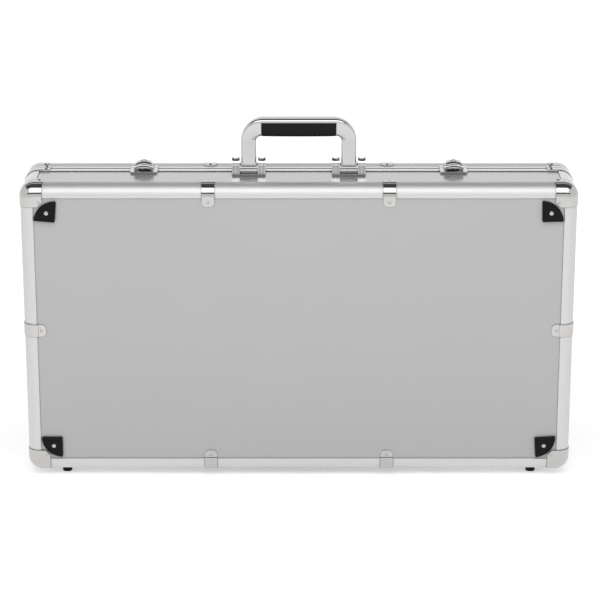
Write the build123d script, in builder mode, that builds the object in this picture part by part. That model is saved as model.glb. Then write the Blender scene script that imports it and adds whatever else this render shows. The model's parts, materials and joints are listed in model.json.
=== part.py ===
"""Aluminium-framed guitar pedal case, standing on its hinge side with the handle up.

Frame: +X along the case, +Y from the base shell's underside through to the lid's face, +Z up.
The origin is at the bottom centre of the bounding box, so z = 0 is the plane the feet stand on.

Two local measures are used throughout:
  s   depth into the case, from the base shell's underside (s = 0) to the lid's face (s = case_depth)
  h   height outwards from the outermost plane of the frame (negative goes into the wall)
"""

from build123d import *
import os
from math import cos, radians

# ---- case -------------------------------------------------------------------------------------
case_width = 690.0
case_height = 378.0
base_depth = 81.0
lid_depth = 39.0
parting_gap = 0.5
foot_height = 8.0

# ---- aluminium extrusions and panels -------------------------------------------------------------
skin = 1.5
panel_thickness = 3.0
panel_clearance = 0.1
inner_leg = 1.2
edge_radius = 15.0
edge_leg = 17.0
post_radius = 17.0
post_leg = 19.0
slot_setback = 4.0
lip_round = 0.6
butt_gap = 0.1

# ---- closing rims --------------------------------------------------------------------------------
rim_width = 9.5
rim_web = 4.0
parting_bevel = 1.2
tongue_thickness = 1.2
tongue_height = 2.2
groove_clearance = 0.5

# ---- corner caps, clips and rim brackets ---------------------------------------------------------
sheet = 1.0
sheet_clearance = 0.05
cap_leg = 28.0
cap_notch = 6.0
clip_width = 15.5
clip_reach = 11.0
clip_tip_radius = 5.5
clip_offset = 112.0
cap_rivet_along = 24.0
cap_rivet_across = 22.0
clip_rivet_reach = 5.5
clip_step = 0.3
bracket_leg = 32.0
bracket_band = 8.8
bracket_rivet_inset = 5.0
rivet_radius = 1.9
rivet_head = 0.9
rivet_rim = 0.3
rivet_hole_share = 0.36
rivet_hole_depth = 0.4

# ---- pads and feet -------------------------------------------------------------------------------
pad_radius = 26.0
pad_thickness = 5.0
pad_bevel = 1.0
pad_corner = 1.2
pad_groove_inset = 2.2
pad_groove = 0.8
pad_groove_depth = 0.4
pad_centre_x = 44.3
pad_centre_z = 46.3
pad_rivet_inset = 11.0
pad_rivet_radius = 3.0
pad_tilts = {(-1, 1): -4.5, (1, 1): 1.3, (-1, -1): 0.0, (1, -1): 3.6}
foot_radius = 6.5
foot_taper = 0.6
foot_end_inset = 47.0
foot_face_inset = 24.2
foot_rim_inset = 8.75
foot_screw_radius = 2.6
foot_recess = 3.0

# ---- handle --------------------------------------------------------------------------------------
bracket_gap = 0.25
handle_pivot_height = 11.5
handle_leg_centre = 62.5
handle_leg_width = 18.6
handle_leg_thickness = 7.5
handle_top_height = 71.0
handle_top_depth = 19.0
handle_bar_height = 23.3
handle_corner_radius = 28.0
handle_leg_round = 2.4
handle_bar_round = 4.2
handle_strap = 4.8
grip_length = 93.4
grip_fit = 0.1
grip_proud = 0.4
grip_round = 5.5
handle_pin_radius = 1.8
running_clearance = 0.05
bracket_width = 42.0
bracket_length = 22.0
bracket_plate = 1.5
ear_thickness = 9.6
ear_radius = 8.5
web_thickness = 4.0
web_height = 6.5
web_round = 1.4
ear_channel = 5.6
ear_channel_depth = 1.1
pin_recess = 0.5

# ---- latches -------------------------------------------------------------------------------------
latch_offset = 194.5
latch_plate_width = 34.5
latch_plate = 1.2
latch_plate_setback = 21.5
latch_pivot_setback = 16.0
latch_pivot_height = 5.6
latch_pin_radius = 1.6
lever_barrel_radius = 3.2
lever_width = 19.4
lever_wall = 1.3
lever_front_setback = 19.2
lever_crown_setback = 6.0
lever_crown_height = 12.6
lever_tip_reach = 9.3
lever_crown_radius = 28.0
lever_underside = 4.7
lever_round = 1.0
cheek_thickness = 1.6
cheek_clearance = 0.3
cheek_height = 9.0
cheek_round = 3.0
cheek_inset = 0.5
keeper_cheek_round = 1.0
lip_height = 4.2
lip_width = 14.0
lip_thickness = 1.5
lip_reach = 2.6
hook_width = 10.0
hook_plate = 2.0
keeper_cheek_height = 6.5
lock_setback = 7.0
lock_radius = 4.0
lock_proud = 0.6
lock_bottom = 7.0
cam_length = 5.3
cam_width = 3.4
cam_thickness = 1.2
keyway_width = 1.0
keyway_length = 4.6
keyway_depth = 1.6

# ---- hinges --------------------------------------------------------------------------------------
hinge_offset = 194.5
hinge_length = 60.0
hinge_knuckles = 5
hinge_knuckle_gap = 0.25
hinge_axis_height = 3.9
knuckle_radius = 3.4
hinge_pin_radius = 1.6
leaf_thickness = 1.5
leaf_reach = 22.0
leaf_relief = 0.6

# ---- lining --------------------------------------------------------------------------------------
lining_clearance = 0.3
floor_foam = 8.0
wall_foam = 6.0
lid_foam_thickness = 12.0
foam_corner = 17.0

# ---- worked out from the sizes above ---------------------------------------------------------------
case_depth = base_depth + lid_depth
half_width = case_width / 2
half_height = case_height / 2
panel_back = skin + panel_thickness
frame_back = panel_back + panel_clearance + inner_leg
cap_proud = sheet + sheet_clearance
pad_proud = pad_thickness - skin
face_y = -(case_depth + cap_proud + rivet_head - pad_proud) / 2
bottom_z = foot_height
top_z = bottom_z + case_height
middle_z = bottom_z + half_height
base_rim_end = base_depth - parting_gap / 2
base_rim_start = base_rim_end - rim_width
lid_rim_start = base_depth + parting_gap / 2
lid_rim_end = lid_rim_start + rim_width
edge_slot = edge_radius - slot_setback
post_slot = post_radius
hinge_y = face_y + base_depth
hinge_z = bottom_z - hinge_axis_height

CORNERS = [(-1, 1), (1, 1), (-1, -1), (1, -1)]
SIDES = [("left", -1), ("right", 1)]


def depth_y(s):
    """World y of a depth into the case."""
    return face_y + s


def front_plane(s):
    """Plane across the case at depth s: local x is +X, local y is +Z, and -amount extrudes to +Y."""
    return Plane(origin=(0, depth_y(s), middle_z), x_dir=(1, 0, 0), z_dir=(0, -1, 0))


def side_plane(x, z_datum, up):
    """Plane across X with local x as depth s and local y as height h off z_datum, upwards or down."""
    return Plane(origin=(x, face_y, z_datum), x_dir=(0, 1, 0), z_dir=(up, 0, 0))


def extrusion_section(radius, face_leg, wall_leg, slot):
    """Section of a panel-holding extrusion: a rounded outer skin and an inner angle, with a slot for
    each panel between them. Local x runs in from the wall, local y runs in from the face."""
    groove = panel_back + panel_clearance
    with BuildSketch() as section:
        with BuildLine():
            RadiusArc((0, radius), (radius, 0), -radius)
            Polyline(
                (radius, 0),
                (face_leg, 0),
                (face_leg, skin),
                (slot, skin),
                (slot, groove),
                (face_leg, groove),
                (face_leg, frame_back),
                (frame_back, frame_back),
                (frame_back, wall_leg),
                (groove, wall_leg),
                (groove, slot),
                (skin, slot),
                (skin, wall_leg),
                (0, wall_leg),
                (0, radius),
            )
        make_face()
        face_lip = section.vertices().filter_by_position(Axis.Y, 0, skin).sort_by(Axis.X)[-2:]
        wall_lip = section.vertices().filter_by_position(Axis.X, 0, skin).sort_by(Axis.Y)[-2:]
        fillet(face_lip + wall_lip, lip_round)
    return section.sketch


def frame_corner_planes(s, inward_y):
    """The four places of a face's edge extrusions: name, plane at mid length, and length."""
    y = depth_y(s)
    inward = Vector(0, inward_y, 0)
    places = []
    for name, sign in (("top", 1), ("bottom", -1)):
        wall_in = Vector(0, 0, -sign)
        origin = (0, y, middle_z + sign * half_height)
        plane = Plane(origin=origin, x_dir=wall_in, z_dir=wall_in.cross(inward))
        places.append((name, plane, case_width - 2 * post_leg))
    for name, sign in SIDES:
        wall_in = Vector(-sign, 0, 0)
        origin = (sign * half_width, y, middle_z)
        plane = Plane(origin=origin, x_dir=wall_in, z_dir=wall_in.cross(inward))
        places.append((name, plane, case_height - 2 * post_leg))
    return places


def save(builder, name):
    """Label a finished piece and write it as its own STEP file."""
    builder.part.label = name
    export_step(builder.part, f"parts/{name}.step")


os.makedirs("parts", exist_ok=True)

# ---- face panels ---------------------------------------------------------------------------------
panel_inset = edge_slot + butt_gap


def face_panel(s_start):
    """Flat face panel, its edges held in the slots of the edge extrusions."""
    with BuildPart() as panel:
        with BuildSketch(front_plane(s_start)):
            RectangleRounded(
                case_width - 2 * panel_inset,
                case_height - 2 * panel_inset,
                edge_slot,
            )
        extrude(amount=-panel_thickness)
    return panel


base_panel = face_panel(skin)
save(base_panel, "base_face_panel")
lid_panel = face_panel(case_depth - panel_back)
save(lid_panel, "lid_face_panel")

# ---- base wall panels: from the edge extrusion's slot to the rim's slot -----------------------------
wall_start = edge_slot + butt_gap
wall_end = base_rim_end - rim_web - butt_gap

for wall_name, wall_sign in (("top", 1), ("bottom", -1)):
    wall_centre = wall_sign * (half_height - skin - panel_thickness / 2)
    with BuildPart() as long_wall:
        with BuildSketch(front_plane(wall_start)):
            with Locations((0, wall_centre)):
                Rectangle(case_width - 2 * (post_slot + butt_gap), panel_thickness)
        extrude(amount=-(wall_end - wall_start))
    save(long_wall, f"base_wall_{wall_name}")

for wall_name, wall_sign in SIDES:
    wall_centre = wall_sign * (half_width - skin - panel_thickness / 2)
    with BuildPart() as short_wall:
        with BuildSketch(front_plane(wall_start)):
            with Locations((wall_centre, 0)):
                Rectangle(panel_thickness, case_height - 2 * (post_slot + butt_gap))
        extrude(amount=-(wall_end - wall_start))
    save(short_wall, f"base_wall_{wall_name}")

# ---- edge extrusions round both faces --------------------------------------------------------------
for edge_name, edge_plane, edge_length in frame_corner_planes(0, 1):
    with BuildPart() as base_edge:
        with BuildSketch(edge_plane):
            add(extrusion_section(edge_radius, edge_leg, edge_leg, edge_slot))
        extrude(amount=edge_length / 2, both=True)
    save(base_edge, f"base_edge_{edge_name}")

lid_wall_leg = case_depth - lid_rim_end - butt_gap
for edge_name, edge_plane, edge_length in frame_corner_planes(case_depth, -1):
    with BuildPart() as lid_edge:
        with BuildSketch(edge_plane):
            add(extrusion_section(edge_radius, edge_leg, lid_wall_leg, edge_slot))
        extrude(amount=edge_length / 2, both=True)
    save(lid_edge, f"lid_edge_{edge_name}")


# ---- corner posts ----------------------------------------------------------------------------------
def corner_posts(s_start, s_end):
    """Four rounded extrusions through the depth, one at each corner, between the caps and the rim."""
    with BuildPart() as posts:
        for sign_x, sign_z in CORNERS:
            origin = (sign_x * half_width, depth_y((s_start + s_end) / 2), middle_z + sign_z * half_height)
            in_x = Vector(-sign_x, 0, 0)
            in_z = Vector(0, 0, -sign_z)
            with BuildSketch(Plane(origin=origin, x_dir=in_x, z_dir=in_x.cross(in_z))):
                add(extrusion_section(post_radius, post_leg, post_leg, post_slot))
            extrude(amount=(s_end - s_start) / 2, both=True)
    return posts


base_posts = corner_posts(edge_leg + butt_gap, base_rim_start - butt_gap)
save(base_posts, "base_corner_posts")
lid_posts = corner_posts(lid_rim_end + butt_gap, case_depth - edge_leg - butt_gap)
save(lid_posts, "lid_corner_posts")


# ---- closing rims ----------------------------------------------------------------------------------
def ring(s_start, s_end, outer_inset, inner_inset):
    """Rounded rectangular band round the case between two depths and two insets."""
    with BuildPart() as band:
        with BuildSketch(front_plane(s_start)):
            RectangleRounded(
                case_width - 2 * outer_inset,
                case_height - 2 * outer_inset,
                post_radius - outer_inset,
            )
            RectangleRounded(
                case_width - 2 * inner_inset,
                case_height - 2 * inner_inset,
                post_radius - inner_inset,
                mode=Mode.SUBTRACT,
            )
        extrude(amount=-(s_end - s_start))
    return band.part


def rim_skin(s_lip, s_parting):
    """Outer skin of a rim: a round lip over the panel, and a bevel along the parting line."""
    lip_end, parting_end = (0, -1) if s_lip < s_parting else (-1, 0)
    with BuildPart() as band:
        add(ring(min(s_lip, s_parting), max(s_lip, s_parting), 0, skin))
        fillet(band.faces().sort_by(Axis.Y)[lip_end].edges(), lip_round)
        chamfer(band.faces().sort_by(Axis.Y)[parting_end].outer_wire().edges(), parting_bevel)
    return band.part


tongue_inset = (frame_back - tongue_thickness) / 2
tongue_end = base_rim_end + tongue_height
with BuildPart() as base_rim:
    add(rim_skin(base_rim_start, base_rim_end))
    add(ring(base_rim_end - rim_web, base_rim_end, skin, frame_back))
    add(ring(base_rim_start, base_rim_end, panel_back + panel_clearance, frame_back))
    add(ring(base_rim_end, tongue_end, tongue_inset, tongue_inset + tongue_thickness))
    with BuildSketch(front_plane(base_rim_end)):
        with Locations((0, -half_height)):
            Rectangle(case_width, 2 * post_radius)
    extrude(amount=-2 * tongue_height, mode=Mode.SUBTRACT)
save(base_rim, "base_rim")

groove_end = tongue_end + groove_clearance
groove_outer = tongue_inset - groove_clearance
groove_inner = tongue_inset + tongue_thickness + groove_clearance
with BuildPart() as lid_rim:
    add(rim_skin(lid_rim_end, lid_rim_start))
    add(ring(lid_rim_start, lid_rim_start + rim_web, skin, frame_back))
    add(ring(lid_rim_start, lid_rim_end, panel_back + panel_clearance, frame_back))
    add(ring(lid_rim_start, groove_end, groove_outer, groove_inner), mode=Mode.SUBTRACT)
save(lid_rim, "lid_rim")


# ---- corner caps -----------------------------------------------------------------------------------
def rounded_corner(size, proud):
    """Solid block with its outer corner rounded like the frame, proud of it by the given amount.
    The frame's own corner is at the local origin and the block fills the positive octant."""
    with BuildPart() as block:
        with Locations((-proud, -proud, -proud)):
            Box(size + proud, size + proud, size + proud, align=(Align.MIN, Align.MIN, Align.MIN))
        post_edge = block.edges().filter_by(Axis.Y).sort_by(Axis.X)[:2].sort_by(Axis.Z)[0]
        fillet(post_edge, post_radius + proud)
        face_rim = block.faces().sort_by(Axis.Y)[0].edges()
        outer_edges = [edge for edge in face_rim if max(edge.center().X, edge.center().Z) < size * 0.9]
        fillet(outer_edges, edge_radius + proud)
    return block.part


notch_side = cap_notch * 2 ** 0.5
with BuildPart() as cap_shell:
    add(rounded_corner(cap_leg, cap_proud))
    add(rounded_corner(cap_leg + cap_proud, sheet_clearance), mode=Mode.SUBTRACT)
    for notch_plane, along in ((Plane.XZ, -cap_leg), (Plane.XY, cap_leg), (Plane.YZ, cap_leg)):
        with BuildSketch(notch_plane):
            with Locations((cap_leg, cap_leg)):
                Rectangle(notch_side, notch_side, rotation=45)
        extrude(amount=cap_proud + skin, both=True, mode=Mode.SUBTRACT)


def rivet_head_part(radius, height):
    """Hollow rivet's head standing on the local XY plane, its dome along +Z."""
    hole = radius * rivet_hole_share
    floor = height - rivet_hole_depth
    with BuildPart() as head:
        with BuildSketch(Plane.XZ):
            with BuildLine():
                Polyline((hole, height), (hole, floor), (0, floor), (0, 0), (radius, 0), (radius, rivet_rim))
                TangentArc((hole, height), (radius, rivet_rim), tangent=(1, 0))
            make_face()
        revolve(axis=Axis.Z)
    return head.part


rivet = rivet_head_part(rivet_radius, rivet_head)


def rivet_on(origin, outward):
    """A rivet head standing on a surface at a point, its dome along the outward direction."""
    return rivet.moved(Plane(origin=origin, z_dir=outward).location)


def cap_rivet_heads():
    """The three rivets of one cap, in the cap's own corner frame."""
    places = (
        ((cap_rivet_along, -cap_proud, cap_rivet_across), (0, -1, 0)),
        ((cap_rivet_along, cap_rivet_across, -cap_proud), (0, 0, -1)),
        ((-cap_proud, cap_rivet_across, cap_rivet_along), (-1, 0, 0)),
    )
    return [rivet_on(origin, outward) for origin, outward in places]


def at_corner(piece, sign_x, sign_z, s, inward_y):
    """Move a piece from the local corner frame (positive octant) to one corner of the case."""
    if sign_x > 0:
        piece = piece.mirror(Plane.YZ)
    if sign_z > 0:
        piece = piece.mirror(Plane.XY)
    if inward_y < 0:
        piece = piece.mirror(Plane.XZ)
    corner = (sign_x * half_width, depth_y(s), middle_z + sign_z * half_height)
    return piece.moved(Location(corner))


# ---- profile clips: bent strips that hold the panels to the edge extrusions --------------------------
def edge_clip(flush_wall):
    """A clip in the extrusion's own section frame. Its tabs step down on to the panels, except that
    a flush wall tab stays on the extrusion's long leg."""
    reach = edge_leg + clip_reach
    step = edge_leg + clip_step
    low = skin - sheet_clearance
    tab = low - sheet
    with BuildPart() as clip:
        with BuildSketch():
            with BuildLine():
                RadiusArc((-cap_proud, edge_radius), (edge_radius, -cap_proud), -(edge_radius + cap_proud))
                Polyline(
                    (edge_radius, -cap_proud),
                    (step + sheet, -cap_proud),
                    (step + sheet, tab),
                    (reach, tab),
                    (reach, low),
                    (step, low),
                    (step, -sheet_clearance),
                    (edge_radius, -sheet_clearance),
                )
                RadiusArc(
                    (edge_radius, -sheet_clearance),
                    (-sheet_clearance, edge_radius),
                    edge_radius + sheet_clearance,
                )
                if flush_wall:
                    Polyline(
                        (-sheet_clearance, edge_radius),
                        (-sheet_clearance, reach),
                        (-cap_proud, reach),
                        (-cap_proud, edge_radius),
                    )
                else:
                    Polyline(
                        (-sheet_clearance, edge_radius),
                        (-sheet_clearance, step),
                        (low, step),
                        (low, reach),
                        (tab, reach),
                        (tab, step + sheet),
                        (-cap_proud, step + sheet),
                        (-cap_proud, edge_radius),
                    )
            make_face()
        extrude(amount=clip_width / 2, both=True)
        fillet(clip.edges().filter_by(Axis.Y).group_by(Axis.X)[-1], clip_tip_radius)
        fillet(clip.edges().filter_by(Axis.X).group_by(Axis.Y)[-1], clip_tip_radius)
    return clip.part


def clip_locations(s, inward_y):
    """Two clips on each long edge and one on each short edge of a face."""
    places = []
    for name, plane, length in frame_corner_planes(s, inward_y):
        offsets = (-clip_offset, clip_offset) if name in ("top", "bottom") else (0,)
        places += [plane.offset(offset).location for offset in offsets]
    return places


def clip_rivet_heads(flush_wall):
    """The two rivets of one clip, in the extrusion's section frame."""
    tab = skin - sheet_clearance - sheet
    wall_tab = -cap_proud if flush_wall else tab
    at = edge_leg + clip_rivet_reach
    return [rivet_on((at, tab, 0), (0, -1, 0)), rivet_on((wall_tab, at, 0), (-1, 0, 0))]


# ---- rim brackets: chrome angles round the rim's corners ---------------------------------------------
def rim_brackets(s_start):
    """Four angle strips that follow the rim round its corners."""
    with BuildPart() as brackets:
        with BuildSketch(front_plane(s_start)):
            RectangleRounded(
                case_width + 2 * cap_proud, case_height + 2 * cap_proud, post_radius + cap_proud
            )
            RectangleRounded(
                case_width + 2 * sheet_clearance,
                case_height + 2 * sheet_clearance,
                post_radius + sheet_clearance,
                mode=Mode.SUBTRACT,
            )
            Rectangle(case_width - 2 * bracket_leg, 2 * case_height, mode=Mode.SUBTRACT)
            Rectangle(2 * case_width, case_height - 2 * bracket_leg, mode=Mode.SUBTRACT)
        extrude(amount=-bracket_band)
    return brackets


def bracket_rivet_heads(s_middle):
    """Two rivets for each rim bracket, one near the end of each leg."""
    inset = bracket_leg - bracket_rivet_inset
    heads = []
    for sign_x, sign_z in CORNERS:
        on_top = (sign_x * (half_width - inset), depth_y(s_middle), middle_z + sign_z * (half_height + cap_proud))
        on_side = (sign_x * (half_width + cap_proud), depth_y(s_middle), middle_z + sign_z * (half_height - inset))
        heads.append(rivet_on(on_top, (0, 0, sign_z)))
        heads.append(rivet_on(on_side, (sign_x, 0, 0)))
    return heads


def dress_shell(shell, s_face, inward_y, rim_start, flush_wall):
    """Write one shell's corner caps, clips, rim brackets and rivets, which both shells share."""
    with BuildPart() as caps:
        for sign_x, sign_z in CORNERS:
            add(at_corner(cap_shell.part, sign_x, sign_z, s_face, inward_y))
    save(caps, f"{shell}_corner_caps")

    places = clip_locations(s_face, inward_y)
    with BuildPart() as clips:
        with Locations(*places):
            add(edge_clip(flush_wall))
    save(clips, f"{shell}_edge_clips")

    bracket_start = rim_start + (rim_width - bracket_band) / 2
    brackets = rim_brackets(bracket_start)
    save(brackets, f"{shell}_rim_brackets")

    with BuildPart() as rivets:
        for sign_x, sign_z in CORNERS:
            for head in cap_rivet_heads():
                add(at_corner(head, sign_x, sign_z, s_face, inward_y))
        with Locations(*places):
            add(clip_rivet_heads(flush_wall))
        add(bracket_rivet_heads(rim_start + rim_width / 2))
    save(rivets, f"{shell}_rivets")


dress_shell("base", 0, 1, base_rim_start, False)
dress_shell("lid", case_depth, -1, lid_rim_start, True)

# ---- corner pads on the base's underside -----------------------------------------------------------
def pad_rivet_at(sign_x, sign_z):
    """Where a pad's rivet goes, from the middle of the case's face."""
    from_middle = pad_rivet_inset - pad_centre_x, pad_rivet_inset - pad_centre_z
    return sign_x * (half_width + from_middle[0]), sign_z * (half_height + from_middle[1])


def pad_outline(sign_x, sign_z, inset):
    """Quarter-round outline of a pad on the front plane: its arc towards the case's corner, and the
    whole pad turned a little on its rivet."""
    arc_centre = (sign_x * (half_width - pad_centre_x), sign_z * (half_height - pad_centre_z))
    quarter = (arc_centre[0] + sign_x * pad_radius / 2, arc_centre[1] + sign_z * pad_radius / 2)
    with BuildSketch() as outline:
        with Locations(arc_centre):
            Circle(pad_radius)
        with Locations(quarter):
            Rectangle(pad_radius, pad_radius, mode=Mode.INTERSECT)
        fillet(outline.vertices(), pad_corner)
        if inset:
            offset(amount=-inset, mode=Mode.REPLACE)
    rivet_x, rivet_z = pad_rivet_at(sign_x, sign_z)
    return outline.sketch.rotate(Axis((rivet_x, rivet_z, 0), (0, 0, 1)), pad_tilts[sign_x, sign_z])


with BuildPart() as corner_pads:
    for sign_x, sign_z in CORNERS:
        with BuildSketch(front_plane(skin)):
            add(pad_outline(sign_x, sign_z, 0))
        extrude(amount=pad_thickness)
    chamfer(corner_pads.faces().sort_by(Axis.Y)[:4].edges(), pad_bevel)
    for sign_x, sign_z in CORNERS:
        with BuildSketch(front_plane(-pad_proud)):
            add(pad_outline(sign_x, sign_z, pad_groove_inset))
            add(pad_outline(sign_x, sign_z, pad_groove_inset + pad_groove), mode=Mode.SUBTRACT)
        extrude(amount=-pad_groove_depth, mode=Mode.SUBTRACT)
    for sign_x, sign_z in CORNERS:
        rivet_x, rivet_z = pad_rivet_at(sign_x, sign_z)
        with BuildSketch(front_plane(-pad_proud)):
            with Locations((rivet_x, rivet_z)):
                Circle(pad_rivet_radius + sheet_clearance)
        extrude(amount=-pad_bevel, mode=Mode.SUBTRACT)
save(corner_pads, "corner_pads")

with BuildPart() as pad_rivets:
    for sign_x, sign_z in CORNERS:
        rivet_x, rivet_z = pad_rivet_at(sign_x, sign_z)
        seat = Plane(origin=(rivet_x, depth_y(pad_bevel - pad_proud), middle_z + rivet_z), z_dir=(0, -1, 0))
        add(rivet_head_part(pad_rivet_radius, pad_bevel).moved(seat.location))
save(pad_rivets, "pad_rivets")

# ---- standing feet on the hinge side ---------------------------------------------------------------
foot_x = half_width - foot_end_inset
foot_depths = (foot_face_inset, base_rim_start - foot_rim_inset)
foot_places = [(sign * foot_x, depth_y(s)) for sign in (-1, 1) for s in foot_depths]
foot_rise = foot_height + skin
with BuildPart() as standing_feet:
    with Locations(*[(x, y, foot_rise / 2) for x, y in foot_places]):
        Cone(foot_radius - foot_taper, foot_radius, foot_rise)
    with Locations(*[(x, y, foot_recess / 2) for x, y in foot_places]):
        Cylinder(foot_screw_radius + sheet_clearance, foot_recess, mode=Mode.SUBTRACT)
save(standing_feet, "standing_feet")

with BuildPart() as foot_screws:
    with Locations(*[(x, y, foot_recess) for x, y in foot_places]):
        Cylinder(foot_screw_radius, foot_recess / 2, align=(Align.CENTER, Align.CENTER, Align.MAX))
save(foot_screws, "foot_screws")

# ---- handle brackets and pins ----------------------------------------------------------------------
bracket_end = base_rim_start - bracket_gap
bracket_start = bracket_end - bracket_length
handle_depth_at = (bracket_start + bracket_end) / 2
ear_start = handle_depth_at - ear_radius
ear_end = handle_depth_at + ear_radius
handle_y = depth_y(handle_depth_at)
handle_pivot_z = top_z + handle_pivot_height

def bracket_outline(inset):
    """Side outline of a handle bracket, from its seat up round the pivot, drawn in by an inset."""
    with BuildSketch() as outline:
        with BuildLine():
            Polyline(
                (bracket_start, bracket_plate),
                (bracket_start, -skin),
                (bracket_end, -skin),
                (bracket_end, bracket_plate),
            )
            Line((bracket_end, bracket_plate), (ear_end, handle_pivot_height))
            ThreePointArc(
                (ear_end, handle_pivot_height),
                (handle_depth_at, handle_pivot_height + ear_radius),
                (ear_start, handle_pivot_height),
            )
            Line((ear_start, handle_pivot_height), (bracket_start, bracket_plate))
        make_face()
        if inset:
            offset(amount=-inset, mode=Mode.REPLACE)
    return outline.sketch


for bracket_name, sign in SIDES:
    centre_x = sign * handle_leg_centre
    with BuildPart() as handle_bracket:
        with BuildSketch(side_plane(centre_x, top_z, 1)):
            add(bracket_outline(0))
        extrude(amount=bracket_width / 2, both=True)
        for ear_sign in (-1, 1):
            ear_x = centre_x + ear_sign * (bracket_width - ear_thickness) / 2
            with BuildSketch(side_plane(ear_x, top_z, 1)):
                with Locations((handle_depth_at, bracket_plate)):
                    Rectangle(2 * bracket_length, 2 * bracket_length, align=(Align.CENTER, Align.MIN))
                add(bracket_outline(ear_channel_depth), mode=Mode.SUBTRACT)
            extrude(amount=ear_channel / 2, both=True, mode=Mode.SUBTRACT)
        with BuildSketch(side_plane(centre_x, top_z, 1)):
            with Locations((handle_depth_at, bracket_plate)):
                Rectangle(2 * bracket_length, 2 * bracket_length, align=(Align.CENTER, Align.MIN))
        extrude(amount=bracket_width / 2 - ear_thickness, both=True, mode=Mode.SUBTRACT)
        with BuildSketch(side_plane(centre_x, top_z, 1)):
            with Locations((bracket_start + web_thickness, (bracket_plate + web_height) / 2)):
                Rectangle(web_thickness, web_height - bracket_plate)
        extrude(amount=bracket_width / 2 - ear_thickness, both=True)
        web_z = top_z + web_height
        web_top = handle_bracket.edges().filter_by(Axis.X).filter_by_position(Axis.Z, web_z, web_z)
        fillet(web_top, web_round)
        with BuildSketch(side_plane(centre_x, top_z, 1)):
            with Locations((handle_depth_at, handle_pivot_height)):
                Circle(handle_pin_radius + running_clearance)
        extrude(amount=bracket_width, both=True, mode=Mode.SUBTRACT)
    save(handle_bracket, f"handle_bracket_{bracket_name}")

with BuildPart() as handle_pins:
    with Locations(*[(sign * handle_leg_centre, handle_y, handle_pivot_z) for name, sign in SIDES]):
        Cylinder(handle_pin_radius, bracket_width - 2 * pin_recess, rotation=(0, 90, 0))
save(handle_pins, "handle_pins")

# ---- handle bow: a section that turns from a leg flat across the case to a deep bar -------------------
bow_outer = handle_leg_centre + handle_leg_width / 2
bow_top = top_z + handle_top_height
corner_x = bow_outer - handle_corner_radius
corner_z = bow_top - handle_corner_radius
slant = cos(radians(45))
mean_height = (handle_leg_width + handle_bar_height) / 2
mean_depth = (handle_leg_thickness + handle_top_depth) / 2
mean_round = (handle_leg_round + handle_bar_round) / 2


def bow_section(at_x, at_z, along_x, along_z, in_plane, across, edge_round):
    """Rounded section of the bow, hung inwards from a point on its outer line."""
    inward = Vector(-along_z, 0, along_x)
    plane = Plane(origin=(at_x, handle_y, at_z), x_dir=inward, z_dir=Vector(along_x, 0, along_z))
    with BuildSketch(plane) as section:
        with Locations((in_plane / 2, 0)):
            RectangleRounded(in_plane, across, edge_round)
    return section.sketch


leg_top = bow_section(bow_outer, corner_z, 0, 1, handle_leg_width, handle_leg_thickness, handle_leg_round)
corner_middle = bow_section(
    corner_x + handle_corner_radius * slant,
    corner_z + handle_corner_radius * slant,
    -slant,
    slant,
    mean_height,
    mean_depth,
    mean_round,
)
bar_start = bow_section(corner_x, bow_top, -1, 0, handle_bar_height, handle_top_depth, handle_bar_round)

with BuildPart() as handle_bow:
    with BuildLine(Plane(origin=(0, handle_y, 0), x_dir=(1, 0, 0), z_dir=(0, -1, 0))) as corner_arc:
        RadiusArc((bow_outer, corner_z), (corner_x, bow_top), -handle_corner_radius)
    sweep(sections=[leg_top, corner_middle, bar_start], path=corner_arc.line, multisection=True)
    extrude(leg_top, amount=-(corner_z - handle_pivot_z))
    extrude(bar_start, amount=corner_x)
    mirror(about=Plane.YZ)
    with BuildSketch(Plane.YZ):
        with Locations((handle_y, bow_top - handle_strap - handle_bar_height)):
            Rectangle(2 * handle_top_depth, 2 * handle_bar_height)
    extrude(amount=(grip_length / 2 + grip_fit), both=True, mode=Mode.SUBTRACT)
    leg_places = [(sign * handle_leg_centre, handle_y, handle_pivot_z) for name, sign in SIDES]
    with Locations(*leg_places):
        Cylinder(handle_leg_thickness / 2, handle_leg_width, rotation=(0, 90, 0))
        Cylinder(
            handle_pin_radius + running_clearance,
            handle_leg_width * 2,
            rotation=(0, 90, 0),
            mode=Mode.SUBTRACT,
        )
save(handle_bow, "handle_bow")

grip_height = handle_bar_height - handle_strap - grip_fit
grip_top = bow_top - handle_strap - grip_fit
grip_depth = handle_top_depth + 2 * grip_proud
with BuildPart() as handle_grip:
    with BuildSketch(Plane.YZ):
        with Locations((handle_y, grip_top - grip_height / 2)):
            Rectangle(grip_depth, grip_height)
    extrude(amount=grip_length / 2, both=True)
    fillet(handle_grip.edges().filter_by(Axis.X).group_by(Axis.Z)[0], grip_round)
save(handle_grip, "handle_grip")

# ---- latches ---------------------------------------------------------------------------------------
latch_plate_start = base_depth - latch_plate_setback
latch_pivot_at = base_depth - latch_pivot_setback
lever_front = base_depth - lever_front_setback
lever_crown_at = base_depth - lever_crown_setback
lever_tip = base_depth + lever_tip_reach
lip_at = base_depth + lip_reach
lock_at = base_depth - lock_setback
plate_end = base_rim_end - sheet_clearance
cheek_inner = lever_width / 2 + cheek_clearance
cheek_outer = cheek_inner + cheek_thickness
lid_plate_start = lid_rim_start + sheet_clearance
lid_plate_end = lid_rim_end + latch_plate
cheek_start = lever_front - cheek_inset
cheek_end = plate_end - cheek_inset
keeper_cheek_start = lid_plate_start + cheek_inset
keeper_cheek_end = lid_plate_end - cheek_inset
hook_root = lock_at + lock_radius + cheek_clearance
hook_nose_end = lever_tip - lever_wall - cheek_clearance


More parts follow.
